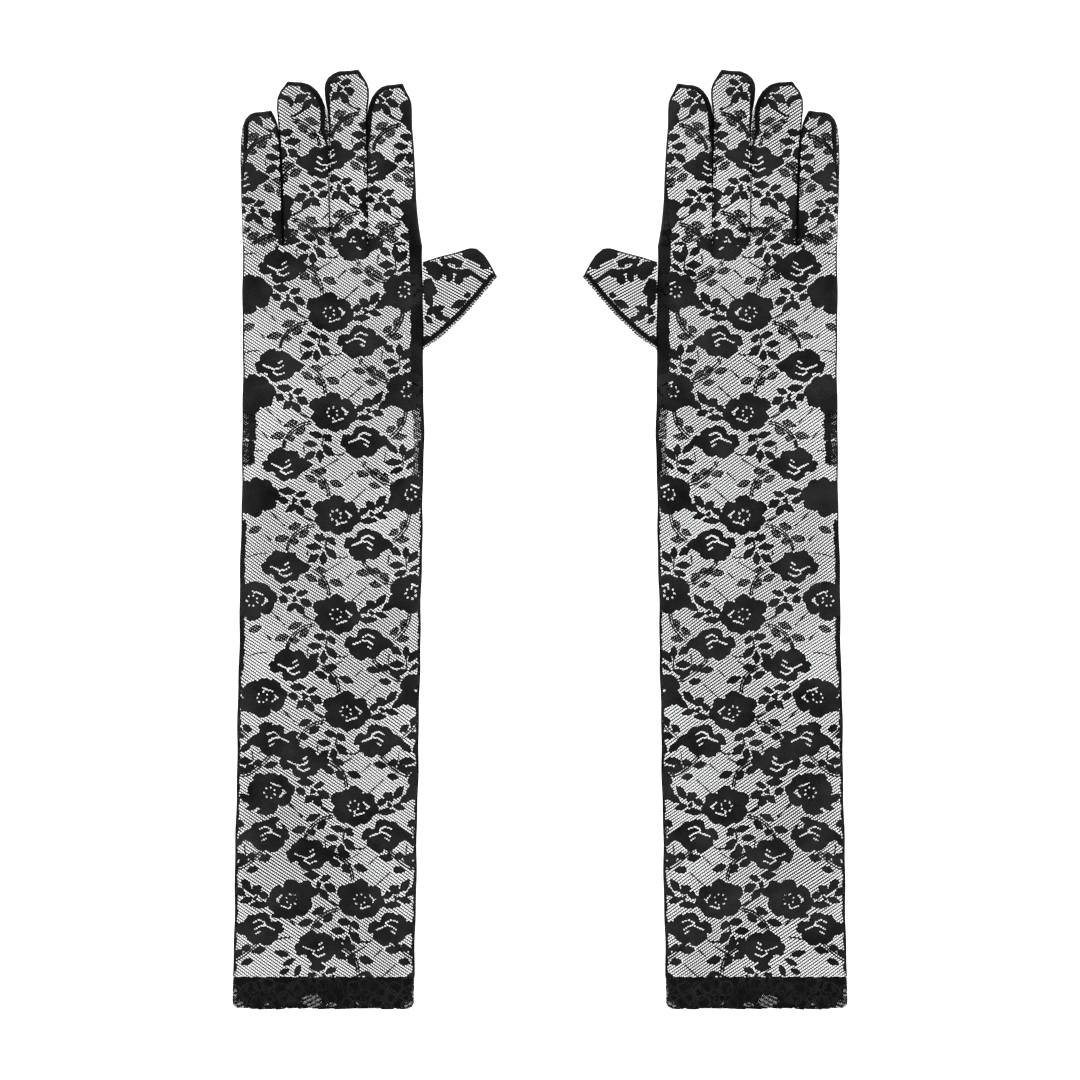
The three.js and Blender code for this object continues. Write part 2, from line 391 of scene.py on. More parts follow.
SPRAY_LEAVES = {
    "upper_left": [
        (-23.9, 12.2, 8, 3, -5), (-26.3, 7.6, 5.2, 3, -30), (-17.2, 10.6, 5.8, 2.4, 20),
        (-22.3, 3.7, 5.6, 2.9, 40), (-14.9, 5.9, 6.8, 3.2, -30), (-18, 2.7, 7, 2.9, -50),
    ],
    "left": [
        (-20.5, -5.6, 6.8, 2.9, 22), (-15.9, -9.3, 5.9, 2.8, 35), (-27.1, -11.6, 7.2, 3, 12),
        (-20.8, -12.8, 4.4, 2.8, 0), (-40.4, -7.2, 6.8, 3.1, 20),
    ],
    "below": [
        (-7.8, -11.2, 6.8, 2.8, -15), (-2.2, -12.8, 5.6, 2.5, -45),
        (-10.9, -15.7, 7.2, 2.8, -5), (-11.2, -21.5, 6.5, 3, 35), (-6.2, -21.5, 5.9, 3, 90),
        (-2.2, -19, 7.5, 3.1, -45),
    ],
    "lower_right": [
        (29.9, -18, 6.8, 2.8, -35), (35.1, -18.7, 6.2, 2.8, 90), (30.5, -24.9, 7.8, 3, 0),
        (32.3, -28.9, 6.8, 2.5, 20), (38.6, -20.8, 7.5, 3.1, 50), (39.2, -26.4, 6.2, 1.9, 35),
    ],
    "right": [
        (33.9, -4.7, 5.6, 2.8, 60), (29.2, -8.4, 5.3, 2.8, 35), (33.6, -12.1, 6.5, 2.8, 5),
    ],
    "upper_right": [
        (14.0, 2.1, 5, 2.8, 25), (17.5, 4.9, 5.8, 3.6, -40), (22.6, 7.0, 7.6, 3.1, 51),
        (26.1, 4, 7.2, 3.1, 35), (22.7, -0.3, 6.5, 2.5, -15), (16.2, -2.7, 8.7, 2.6, 3),
    ],
    "above": [
        (-12.4, 18.3, 6.5, 3, -30), (-6.8, 15.5, 5.9, 2.8, -50), (0.3, 15.9, 7.2, 3, -20),
        (-7.5, 22.1, 5.9, 2.8, -8),
    ],
    "above_right": [
        (13.4, 20.8, 6.8, 2.8, -12), (19.9, 21.8, 4.4, 3, 0), (24.3, 19, 6.2, 2.8, -40),
        (19.6, 14.9, 6.2, 2.6, -12),
    ],
}
VEILED_SPRAYS = ("left", "right", "above", "above_right")
VEILED_ROWS = 5  # counted from the top
SPRAY_STEMS = {
    "upper_left": [
        ([(-16.2, -0.3), (-12.4, -2.5), (-10, -3.1)], 0.8),
        ([(-21, 8.6), (-20, 7.2), (-21.2, 6.9)], 1.2),
    ],
    "left": [
        ([(-10.6, -4.4), (-16.2, -5.6), (-21.1, -9.3), (-24.3, -14), (-24.8, -17.7)], 0.7),
        ([(-10.6, -5.6), (-15.8, -6.8), (-20.4, -10.2), (-23.4, -14.4), (-24, -17.9)], 0.7),
    ],
    "below": [
        ([(-4.4, -12.1), (-5.3, -17.1)], 0.8),
        ([(0, -20.8), (4.4, -21.5), (6.2, -20.2)], 0.7),
        ([(-14.3, -17.1), (-14, -20.2)], 0.5),
    ],
    "lower_right": [
        ([(26.7, -19.6), (26.1, -24.6)], 0.5),
        ([(35.1, -20.8), (35.5, -27.1)], 0.7),
    ],
    "right": [
        ([(36.4, 2.2), (35.8, -4), (32.3, -9), (28.6, -12.4)], 0.7),
        ([(37.6, 2.2), (36.9, -4.4), (33.2, -10), (29.4, -13.4)], 0.7),
    ],
    "upper_right": [
        ([(19.3, 0.9), (16.8, -1.6)], 0.7),
        ([(17.4, 1.5), (18.6, 0.3)], 1.2),
    ],
    "above": [
        ([(-12.4, 22.1), (-7.5, 19), (-4.7, 14.6), (-4, 9.6)], 0.7),
        ([(-11.6, 23.1), (-6.6, 19.8), (-3.6, 15), (-2.9, 9.6)], 0.7),
    ],
    "above_right": [
        ([(13, 27), (14.5, 23.5), (17.4, 21), (20.5, 18), (25.5, 14.9), (30.5, 15.2)], 0.7),
        ([(14.2, 27), (15.6, 24.1), (18.2, 22), (21.2, 19.2), (26, 16.1), (30.5, 16.4)], 0.7),
    ],
}
SINGLE_THREADS = [
    [(7.5, 6.5), (15, 13.4)], [(4.4, 17.4), (8.7, 21.5)], [(-33, 2.2), (-25.5, -5.3)],
    [(-36, -9), (-32.3, -12.8)], [(3.1, -23.3), (-4.4, -27.7)],
    [(-44.2, -20.8), (-38.6, -19), (-34.8, -19)],
]


class Placing:
    """Puts a row's offsets in place, mirrored where the lace mirrors them."""

    def __init__(self, field, x, y, mirror_x=1, mirror_y=1):
        self.field, self.x, self.y = field, x, y
        self.mirror_x, self.mirror_y = mirror_x, mirror_y

    def at(self, dx, dy):
        return self.x + self.mirror_x * dx, self.y + self.mirror_y * dy

    def petals(self, petals):
        for dx, dy, radius in petals:
            self.field.petal(*self.at(dx, dy), radius)

    def leaves(self, leaves, veil=False):
        for dx, dy, length, width, turn in leaves:
            turned = turn * self.mirror_x * self.mirror_y
            self.field.leaf(*self.at(dx, dy), length, width, turned, veil)

    def stems(self, stems):
        for points, width in stems:
            self.field.line([self.at(*point) for point in points], width)

    def eyelets(self, rows, width=EYELET_WIDTH):
        for points in rows:
            self.field.eyelets([self.at(*point) for point in points], width)


def open_rose(field, x, y, mirror_x=1, mirror_y=1, pierced=True):
    placing = Placing(field, x, y, mirror_x, mirror_y)
    placing.petals(ROSE_PETALS)
    if not pierced:
        return
    placing.eyelets(ROSE_EYELETS)
    for hole in range(ROSE_HOLES):
        angle = math.tau * hole / ROSE_HOLES + 0.4
        dx, dy = ROSE_RING * math.cos(angle), ROSE_RING * math.sin(angle)
        placing.eyelets([[(dx, dy), (dx * 1.05, dy * 1.05)]], 1.3)


def side_rose(field, x, y, mirror_x=1, mirror_y=1):
    placing = Placing(field, x, y, mirror_x, mirror_y)
    placing.petals(BUD_PETALS)
    placing.leaves(BUD_POINTS)
    placing.eyelets(BUD_EYELETS)


def sprays(field, x, y, names, mirror_x=1, veiled=()):
    placing = Placing(field, x, y, mirror_x)
    for name in names:
        placing.leaves(SPRAY_LEAVES[name], veil=name in veiled)
        placing.stems(SPRAY_STEMS[name])


# Centre of each row's main rose, down the glove, and the offset of its lower-left rose
ROWS = [
    ((-107.5, 162.5), (-22.5, -25.5)),
    ((-105.5, 113.8), (-26.5, -26.3)),
    ((-103.9, 63.8), (-24.2, -25.8)),
    ((-102.2, 12.3), (-26.5, -25.5)),
    ((-102.1, -37.3), (-22.5, -25.0)),
    ((-97.1, -85.8), (-22.5, -24.9)),
    ((-93.3, -133.3), (-22.9, -23.7)),
    ((-90.2, -179.9), (-21.8, -23.6)),
    ((-87.5, -226.0), (-21.0, -23.5)),
]
MIRROR_LINE = -107.25  # the lower rows' left part mirrors the right part about this line
MIRRORED_SPRAYS = {
    5: ("lower_right", "right"), 6: ("upper_right", "above_right", "lower_right", "right"),
    7: ("upper_right", "above_right"), 8: ("above_right",),
}
# Beside the last row's lower-left rose
LAST_LEAVES = [
    (-38.9, -27.0, 7.5, 2.4, -12), (-35.4, -31.2, 7, 2.2, 25), (-31.0, -35.4, 6, 2.6, 65),
    (-37.8, -36.0, 5, 2.2, 15),
]


def draw_arm_lace():
    field = MotifField((-170, -250), (-40, 185))
    for row, ((x, y), (lower_dx, lower_dy)) in enumerate(ROWS):
        open_rose(field, x, y)
        side_rose(field, x + 16, y - 15)
        side_rose(field, x + lower_dx + 1.2, y + lower_dy, mirror_y=-1)
        sprays(field, x, y, SPRAY_LEAVES, veiled=VEILED_SPRAYS if row < VEILED_ROWS else ())
        placing = Placing(field, x, y)
        placing.stems([(points, 0.5) for points in SINGLE_THREADS])
        open_rose(field, x + 37.5, y + 10.5, mirror_y=-1)
        if row <= 3:
            open_rose(field, x - 40.7, y + 9.3, mirror_y=-1, pierced=False)
        elif row <= 6:
            open_rose(field, x - 41.9, y + 7.0, mirror_y=-1)
        mirrored_x = 2 * MIRROR_LINE - x
        if row in (5, 6, 7):
            side_rose(field, mirrored_x - 16, y - 15, mirror_x=-1)
        sprays(field, mirrored_x, y, MIRRORED_SPRAYS.get(row, ()), mirror_x=-1)
        if row == 7:
            open_rose(field, mirrored_x, y, mirror_x=-1)
            placing.leaves(LAST_LEAVES)
    return field


# Offsets from the thumb's upper corner at the hand
THUMB_PETALS = [
    (21, 3.5, 1.9), (24.2, 3.5, 2.9), (28.1, 1.6, 2.9), (30.6, -1, 2.6), (17.2, -1, 1.9),
    (21, -5.7, 2.2), (10.8, -4.1, 2.5), (4.8, -3.5, 3.5), (6.4, -6.7, 2.5), (1.6, -1, 1.9),
    (1.6, -12.4, 3.8), (3.8, -14.5, 2.6),
]
THUMB_LEAVES = [
    (14.7, 0.4, 10.2, 2.4, -5), (12.8, -7.7, 5.1, 3, 70), (17.5, -8.6, 5.7, 3.8, 60),
    (17.2, -21.2, 7.7, 3.2, 25), (21.7, -16.9, 3.8, 2, 10), (7.7, -23.3, 5.7, 2.2, 20),
    (7.7, -27.1, 7, 3.2, -35), (2.2, -29, 5.7, 2.2, -40), (1.6, -38.6, 4.5, 2.5, -30),
    (2.4, -19, 8, 3.4, -70), (3.5, -24.5, 6, 2.6, 40), (11.5, -29, 6, 2.4, -30),
]
THUMB_STEM = [(8.9, 1), (11.8, -3.5), (16.6, -5.1), (22.3, -4.8), (26.2, -7.3), (30.6, -10.5)]


def draw_thumb_lace():
    field = MotifField((-70, 85), (-15, 155))
    placing = Placing(field, THUMB[1][0] + 0.8, THUMB[1][1])
    placing.petals(THUMB_PETALS)
    placing.leaves(THUMB_LEAVES)
    placing.stems([(THUMB_STEM, 2.0)])
    return field


ARM_LACE = draw_arm_lace()
THUMB_LACE = draw_thumb_lace()

# Where the lace of each finger lies in the lace of the arm: across (1) or mirrored (-1)
FINGER_LACE = {
    "little": (1, 20.95, -194.95),
    "ring": (-1, -236.85, -202.75),
    "middle": (1, -22.35, -206.15),
    "index": (1, -43.25, -200.35),
}
FINGER_PATTERN_Y = KNUCKLE_Y + 5.0
BOTH_BELOW, BOTH_ABOVE = 5, 4  # how far round it the hand's and fingers' motifs both show
# Plain net where the cut leaves a rose out at a fingertip: centre and radius
TIP_CLEARINGS = {"ring": (-132.0, 212.5, 8.5), "middle": (-85.5, 220.5, 8.5)}


# A fold of doubled lace where the little and the ring finger part, and its half width there
FOLD_PATCH = np.array([(-128.6, 166.0), (-127.6, 145.0)])
FOLD_HALF = (1.2, 3.6)


def fold_patch_distance(points):
    start, end = FOLD_PATCH
    run = end - start
    share = np.clip((points - start) @ run / (run @ run), 0, 1)
    away = np.linalg.norm(points - start - share[:, None] * run, axis=1)
    return away - (FOLD_HALF[0] + (FOLD_HALF[1] - FOLD_HALF[0]) * share)


def finger_motifs(points):
    """The lace of the fingers. Each one shows its own place in the arm's lace."""
    which = stall_depths(points).argmax(axis=0)
    found = np.zeros((3, len(points)))
    for number, name in enumerate(FINGERS):
        chosen = which == number
        across, dx, dy = FINGER_LACE[name]
        found[:, chosen] = ARM_LACE.sample(points[chosen] * (across, 1) + (dx, dy))
        if name in TIP_CLEARINGS:
            x, y, radius = TIP_CLEARINGS[name]
            inside = radius - np.hypot(points[chosen, 0] - x, points[chosen, 1] - y)
            found[0, chosen] = np.maximum(found[0, chosen], inside)
    return found[0], found[1], found[2] > 0


def arm_motifs(points):
    distance, relief, veil = ARM_LACE.sample(points)
    high = points[:, 1] > FINGER_PATTERN_Y - BOTH_BELOW
    if high.any():
        upper = points[high]
        finger_distance, finger_relief, finger_veil = finger_motifs(upper)
        only_finger = upper[:, 1] > FINGER_PATTERN_Y + BOTH_ABOVE
        hand_distance = np.where(only_finger, FAR, distance[high])
        closer = finger_distance < hand_distance
        nearest = np.where(closer, finger_distance, hand_distance)
        distance[high] = np.minimum(nearest, fold_patch_distance(upper))
        relief[high] = np.where(closer, finger_relief, relief[high])
        veil[high] = np.where(only_finger | closer, finger_veil, veil[high])
    return distance, relief, veil


# --- lace as geometry
EDGE_ALLOWED = 0.12  # a cell whose centre is nearer the edge than this is left out
CORNER_STEPS = np.array([(1, 1), (-1, 2), (-2, 1), (-1, -1), (1, -2), (2, -1)])


class Net:
    """A hexagonal net, turned and shifted, that neighbouring pieces share."""

    def __init__(self, pitch, turn, shift=(0, 0), stretch=1.0, slack=0.0):
        cosine, sine = math.cos(math.radians(turn)), math.sin(math.radians(turn))
        turned = np.array([[cosine, sine], [-sine, cosine]])
        self.axes = np.array([(pitch, 0), (pitch / 2, pitch * stretch * math.sqrt(3) / 2)]) @ turned
        self.shift = np.array(shift, float)
        self.slack = slack
        self.row = self.axes[0] / pitch

    def place(self, steps):
        """Points from positions counted in thirds of a cell, with the cloth's slight drift."""
        flat = steps / 3 @ self.axes + self.shift
        x, y = flat.T
        drift_x = 0.5 * np.sin(y / 13 + 0.7) + 0.35 * np.sin(x / 9 + y / 17)
        drift_y = 0.5 * np.sin(x / 15 + 1.9) + 0.35 * np.sin(y / 11 - x / 21)
        drift_x += self.slack * np.sin(x / 31 + y / 23)
        drift_y += self.slack * np.sin(y / 37 - x / 27)
        return flat + np.column_stack([drift_x, drift_y])

    def cells(self, low, high):
        box = np.array([(low[0], low[1]), (high[0], low[1]), (low[0], high[1]), (high[0], high[1])])
        steps = (box - self.shift) @ np.linalg.inv(self.axes)
        first = np.floor(steps.min(axis=0)).astype(int) - 3
        last = np.ceil(steps.max(axis=0)).astype(int) + 4
        q, r = np.meshgrid(np.arange(first[0], last[0]), np.arange(first[1], last[1]))
        return np.column_stack([q.ravel(), r.ravel()])


def lace_geometry(net, outline, keep, motifs, height, side, opening):
    """Vertices and faces of a piece of lace. side is 1 for a back panel, -1 for a palm panel."""
    cells = net.cells(outline.min(axis=0), outline.max(axis=0))
    centres = net.place(cells * 3)
    cells = cells[keep(centres)]
    centres = net.place(cells * 3)
    away, _ = polygon_distance(centres, outline)
    cells, centres = cells[away < -EDGE_ALLOWED], centres[away < -EDGE_ALLOWED]

    corner_keys = cells[:, None, :] * 3 + CORNER_STEPS[None]
    flat_keys, number = np.unique(corner_keys.reshape(-1, 2), axis=0, return_inverse=True)
    corner_of = number.reshape(len(cells), 6)
    corners = net.place(flat_keys)
    away, nearest = polygon_distance(corners, outline)
    outside = away > 0
    corners[outside] = nearest[outside]

    _, cell_relief, veil = motifs(centres)
    _, corner_relief, _ = motifs(corners)
    share = opening(centres)

    # Each cell's hole grows from its most open spot, and stops at the rim of a motif
    spokes = corners[corner_of] - centres[:, None, :]
    spots = np.concatenate([centres[:, None, :], centres[:, None, :] + 0.5 * spokes], axis=1)
    clear = motifs(spots.reshape(-1, 2))[0].reshape(-1, 7)
    best = clear.argmax(axis=1)
    cell = np.arange(len(cells))
    start = clear[cell, best]
    origin = spots[cell, best]
    solid = ((start < LEAST_OPENING) | (share <= 0)) & ~veil
    eyelet = (start < 0.5 * EYELET_WIDTH + 0.05) & (clear.min(axis=1) < 0)
    share = np.where(veil, VEIL_OPENING, share)
    along = (spokes @ net.row)[..., None] * net.row
    drawn_out = ALONG_ROWS * along + ACROSS_ROWS * (spokes - along)
    pierced = (eyelet & ~veil & (share > 0))[:, None, None]
    reach = np.where(pierced, EYELET_OPENING * spokes, share[:, None, None] * drawn_out)

    start, origin = start[~solid][:, None], origin[~solid][:, None, :]
    holes = centres[~solid][:, None, :] + reach[~solid]
    rim = motifs(holes.reshape(-1, 2))[0].reshape(-1, 6)
    pull = np.where(rim < 0, start / (start - rim + 1e-6), 1.0)
    drawn_in = origin + np.clip(pull, 0.1, 1.0)[..., None] * (holes - origin)
    holes = np.where(veil[~solid][:, None, None], holes, drawn_in)
    holes = holes.reshape(-1, 2)

    def lifted(points, rise):
        return np.column_stack([points, height(points) + side * rise])

    ridge = THREAD_RIDGE + MOTIF_RELIEF * corner_relief
    middles = centres[solid]
    knit = 0.05 * np.sin(middles[:, 0] * 5.1) * np.sin(middles[:, 1] * 4.7)
    vertices = np.vstack([
        lifted(corners, ridge),
        lifted(middles, THREAD_RIDGE * 0.4 + MOTIF_RELIEF * cell_relief[solid] + knit),
        lifted(holes, np.zeros(len(holes))),
    ])
    middle_number = len(corners) + np.arange(len(middles))
    hole_number = len(corners) + len(middles) + np.arange(len(holes)).reshape(-1, 6)

    after = np.roll(corner_of, -1, axis=1)
    hole_after = np.roll(hole_number, -1, axis=1)
    spread = np.repeat(middle_number[:, None], 6, 1)
    fans = np.stack([spread, corner_of[solid], after[solid]], axis=-1).reshape(-1, 3)
    rims = np.stack([corner_of[~solid], after[~solid], hole_after, hole_number], axis=-1)
    rims = rims.reshape(-1, 4)
    if side < 0:
        fans, rims = fans[:, ::-1], rims[:, ::-1]
    return vertices, [fans, rims]


def add_to_scene(name, data):
    made = bpy.data.objects.new(name, data)
    bpy.context.scene.collection.objects.link(made)
    return made


def build_mesh(name, parts, mirror, materials):
    """One object from several (vertices, list of face arrays, material number) parts."""
    vertices, loops, totals, slots = [], [], [], []
    offset = 0
    for part_vertices, face_arrays, slot in parts:
        vertices.append(part_vertices)
        for faces in face_arrays:
            loops.append((faces[:, ::mirror] + offset).ravel())
            totals.append(np.full(len(faces), faces.shape[1]))
            slots.append(np.full(len(faces), slot))
        offset += len(part_vertices)
    vertices = np.vstack(vertices) * MM
    vertices[:, 0] *= mirror
    loops, totals, slots = (np.concatenate(values) for values in (loops, totals, slots))
    mesh = bpy.data.meshes.new(name)
    mesh.vertices.add(len(vertices))
    mesh.vertices.foreach_set("co", vertices.astype(np.float32).ravel())
    mesh.loops.add(len(loops))
    mesh.loops.foreach_set("vertex_index", loops.astype(np.int32))
    mesh.polygons.add(len(totals))
    for material in materials:
        mesh.materials.append(material)
    starts = np.cumsum(totals) - totals
    for key, values in (("loop_start", starts), ("loop_total", totals), ("material_index", slots)):
        mesh.polygons.foreach_set(key, values.astype(np.int32))
    mesh.polygons.foreach_set("use_smooth", np.ones(len(totals), bool))
    mesh.update(calc_edges=True)
    mesh.validate()
    return add_to_scene(name, mesh)


# --- bands and seams
def lengths_along(points):
    steps = np.linalg.norm(np.diff(points, axis=0), axis=1)
    return np.concatenate([[0], np.cumsum(steps)])


def smooth_line(points, step):
    """A bent line with its corners rounded, in even steps, and the length up to each step."""
    points = np.array(points, float)
    for _ in range(2):
        cut = np.empty((2 * len(points) - 2, 2))
        cut[0::2] = 0.75 * points[:-1] + 0.25 * points[1:]
        cut[1::2] = 0.25 * points[:-1] + 0.75 * points[1:]
        points = np.vstack([points[:1], cut, points[-1:]])
    total = lengths_along(points)
    wanted = np.linspace(0, total[-1], max(2, int(total[-1] / step) + 1))
    return np.column_stack([np.interp(wanted, total, points[:, k]) for k in range(2)]), wanted


def directions(line):
    run = np.gradient(line, axis=0)
    return run / (np.linalg.norm(run, axis=1)[:, None] + 1e-9)


def side_normals(line):
    run = directions(line)
    return np.column_stack([run[:, 1], -run[:, 0]])


def band_frame(points, widths, insets, step):
    """A rounded line, its lengths and right-hand normals, and its width and inset all along."""
    total = lengths_along(np.array(points, float))
    line, along = smooth_line(points, step)
    width, inset = (
        np.interp(along / along[-1], total / total[-1], np.broadcast_to(values, len(points)))
        for values in (widths, insets)
    )
    return line, along, side_normals(line), width, inset


def surface_from(rows):
    """Vertices and faces of a surface from its lines, side by side."""
    grid = np.stack(rows, axis=1)
    number = np.arange(grid.shape[0] * grid.shape[1]).reshape(grid.shape[:2])
    faces = np.stack([number[:-1, :-1], number[1:, :-1], number[1:, 1:], number[:-1, 1:]], axis=-1)
    return grid.reshape(-1, 3), [faces.reshape(-1, 4)]


BAND_LIFT, BAND_STITCH, BAND_STEP = 0.3, 1.1, 0.3
STRIP_STEP, STRIP_COLUMNS = 0.5, 6


def band(points, widths, height, insets=0.0, columns=8, foot=None):
    """A sewn band on the right-hand side of a line, with slanted overlock ridges on it.

    widths and insets are numbers, or one value for each point of the line. height gives the
    surface below, and foot the height that the outer edge is carried down to.
    """
    line, along, normal, width, inset = band_frame(points, widths, insets, BAND_STEP)
    rows = []
    for share in np.linspace(0, 1, columns):
        wave = 0.10 * np.sin(along * 2.3 + 1.7) + 0.07 * np.sin(along * 5.9)
        wave = wave * np.clip(width, 0, 1.5) if share == 1 else 0
        place = line + normal * (inset + width * share + wave)[:, None]
        rounded = 1 - abs(2 * share - 1) ** 3
        groove = 0.14 * math.exp(-(((share - 0.5) / 0.12) ** 2)) * np.clip(width - 1.5, 0, 1)
        ridge = 0.09 * np.sin(math.tau * (along / BAND_STITCH + share * 0.9)) * rounded
        z = height(place) + BAND_LIFT * (0.3 + 0.7 * rounded) + ridge - groove
        rows.append(np.column_stack([place, z]))
    if foot is not None:
        low = rows[0].copy()
        low[:, 2] = foot
        rows.insert(0, low)
    return surface_from(rows)


def strip(points, width, inset):
    """A folded allowance on the right-hand side of a line, lying between the panels."""
    line, along, normal, width, inset = band_frame(points, width, inset, STRIP_STEP)
    rows = []
    for share in np.linspace(0, 1, STRIP_COLUMNS):
        wave = (0.25 * np.sin(along * 0.9) + 0.15 * np.sin(along * 2.7)) * (share == 1)
        place = line + normal * (inset + (width + wave) * share)[:, None]
        ripple = 0.05 * np.sin(along * 3.1 + share * 9)
        rows.append(np.column_stack([place, ALLOWANCE_HEIGHT + ripple]))
    return surface_from(rows)


CORD_STEP, CORD_RAISED, CORD_INSIDE = 0.5, 0.17, 0.8


def cords(threads, placed, keep, outline, height, side):
    """The thin cords of the lace that run over one piece."""
    made = []
    for points, width in threads:
        line, _ = smooth_line(placed(np.array(points, float)), CORD_STEP)
        inside = keep(line) & (polygon_distance(line, outline)[0] < -CORD_INSIDE)
        ends = np.flatnonzero(np.diff(inside.astype(int))) + 1
        for run in np.split(np.arange(len(line)), ends):
            if len(run) > 3 and inside[run[0]]:
                path = np.column_stack([line[run], height(line[run]) + side * CORD_RAISED])
                made.append(thread(path, width / 2))
    return made


LOOP_SPACING, LOOP_RADIUS = 0.7, 0.13


def serged_edge(points, reach, height):
    """Short thread loops that stand out past a sewn raw edge, on a line's left-hand side."""
    line, _ = smooth_line(points, LOOP_SPACING)
    normal = -side_normals(line)
    run = np.column_stack([normal[:, 1], -normal[:, 0]])
    made = []
    turn = np.linspace(0, math.pi, 6)[:, None]
    for number, (spot, out, forward) in enumerate(zip(line, normal, run)):
        length = reach * (0.72 + 0.28 * math.sin(number * 2.4))
        slant = 0.5 * math.sin(number * 1.3)
        loop = spot + out * np.sin(turn) * length + forward * (
            (np.cos(turn) - 1) * 0.35 + np.sin(turn) * slant
        )
        z = height(loop) * 0.6 + 0.25 + 0.2 * np.sin(number * 1.9)
        made.append(thread(np.column_stack([loop, z]), LOOP_RADIUS, sides=4))
    return made


def thread(path, radius, sides=5):
    """A round thread along points in space."""
    path = np.array(path, float)
    run = directions(path)
    across = np.cross(run, (0, 0, 1.0))
    across /= np.linalg.norm(across, axis=1)[:, None] + 1e-9
    up = np.cross(across, run)
    angles = np.arange(sides) * math.tau / sides
    rings = path[:, None] + radius * (
        np.cos(angles)[None, :, None] * across[:, None] + np.sin(angles)[None, :, None] * up[:, None]
    )
    count = len(path)
    number = np.arange(count * sides).reshape(count, sides)
    after = np.roll(number, -1, axis=1)
    faces = np.stack([number[:-1], after[:-1], after[1:], number[1:]], axis=-1).reshape(-1, 4)
    return rings.reshape(-1, 3), [faces]


# --- materials
def fabric_material(name, dark, light, scale, roughness, sheen, bump):
    """Dull black yarn: fine fibres, wider patches, a fibre bump and a little sheen."""
    material = bpy.data.materials.new(name)
    material.use_nodes = True
    tree = material.node_tree
    tree.nodes.clear()

    def node(kind, **inputs):
        made = tree.nodes.new("ShaderNode" + kind)
        for entry, value in inputs.items():
            made.inputs[entry.replace("_", " ")].default_value = value
        return made

    surface = node("OutputMaterial")
    shader = node("BsdfPrincipled", Specular_IOR_Level=0.06, Sheen_Weight=sheen, Sheen_Roughness=0.5)
    place = node("TexCoord")
    fibres = node("TexNoise", Scale=scale, Detail=6.0, Roughness=0.65)
    patches = node("TexNoise", Scale=scale / 22, Detail=3.0, Roughness=0.5)
    mixed = node("Math")
    mixed.operation = "MULTIPLY"
    ramp = node("ValToRGB")
    for stop, position, colour in zip(ramp.color_ramp.elements, (0.12, 0.45), (dark, light)):
        stop.position = position
        stop.color = (*colour, 1)
    rough = node("MapRange", To_Min=roughness - 0.1, To_Max=roughness + 0.1)
    weave = node("Bump", Strength=bump, Distance=0.0002)
    for source, exit_name, target, entry in (
        (shader, "BSDF", surface, "Surface"),
        (place, "Object", fibres, "Vector"), (place, "Object", patches, "Vector"),
        (fibres, "Fac", mixed, 0), (patches, "Fac", mixed, 1),
        (mixed, 0, ramp, "Fac"), (ramp, "Color", shader, "Base Color"),
        (fibres, "Fac", rough, "Value"), (rough, "Result", shader, "Roughness"),
        (fibres, "Fac", weave, "Height"), (weave, "Normal", shader, "Normal"),
    ):
        tree.links.new(source.outputs[exit_name], target.inputs[entry])
    return material


LACE = fabric_material("black_lace_thread", (0.003, 0.003, 0.0032), (0.030, 0.030, 0.031),
                       1500, 0.75, 0.01, 0.4)
SEAM = fabric_material("black_overlock_seam", (0.001, 0.001, 0.0011), (0.008, 0.008, 0.0084),
                       3200, 0.7, 0.008, 0.6)
# A lighter copy of the black yarn, a painted highlight on the hem's raised petals
HEM_PAINTED_HIGHLIGHT = fabric_material("black_hem_lace_painted_highlight", (0.007, 0.007, 0.0073), (0.024, 0.024, 0.0248),
                      2200, 0.75, 0.01, 0.5)


# --- the panels
PALM_EASE = 1.0012  # the flat palm's net is this much wider than the arched back's
PALM_SLACK = 0.08


def net_pair(turn):
    """The nets of a back and of the palm under it, nearly in step."""
    back = Net(NET_PITCH, turn, (0, 0), NET_STRETCH)
    return back, Net(NET_PITCH * PALM_EASE, turn, (0, 0), NET_STRETCH, slack=PALM_SLACK)


BODY_NETS = net_pair(-35.0)
THUMB_NETS = net_pair(-28.0)
HEM_NETS = (Net(0.62, 2.0), Net(0.8, -6.0, (0.3, 0.2)))
FOURCHETTE_NET = Net(1.05, 28.0, (0.1, 0.3), 0.9)


# Places where the doubled band's raw edge shows open net: centre, half width, half height
HEM_WINDOWS = [
    (-114.0, -230.6, 5.6, 3.4), (-151.2, -232.6, 3.0, 2.4), (-64.8, -232.6, 3.0, 2.4),
    (-152.6, -227.0, 1.0, 3.2), (-63.4, -227.0, 1.0, 3.2), (-137, -232.3, 1.3, 0.9),
    (-91, -232.2, 1.3, 0.9), (-104.5, -232.6, 2.6, 1.2),
]


def hem_opening(points):
    """The doubled band is closed lace; its net opens only in a few spots."""
    x, y = points.T
    share = np.zeros(len(points))
    for spot_x, spot_y, half_x, half_y in HEM_WINDOWS:
        away = np.hypot((x - spot_x) / half_x, (y - spot_y) / half_y)
        wave = 0.15 * np.sin(x * 2.1) * np.sin(y * 2.7)
        share = np.maximum(share, np.where(away + wave < 1, 0.55, 0.0))
    low = y < OPENING_Y + 2.4 + 0.8 * np.sin(x / 4.3)
    pinhole = (np.sin(x * 3.3 + 1) * np.sin(y * 3.9 + x) > 0.62) & ((y > HEM_Y - 6) | low)
    return np.maximum(share, np.where(pinhole, np.where(low, 0.4, 0.2), 0.0))


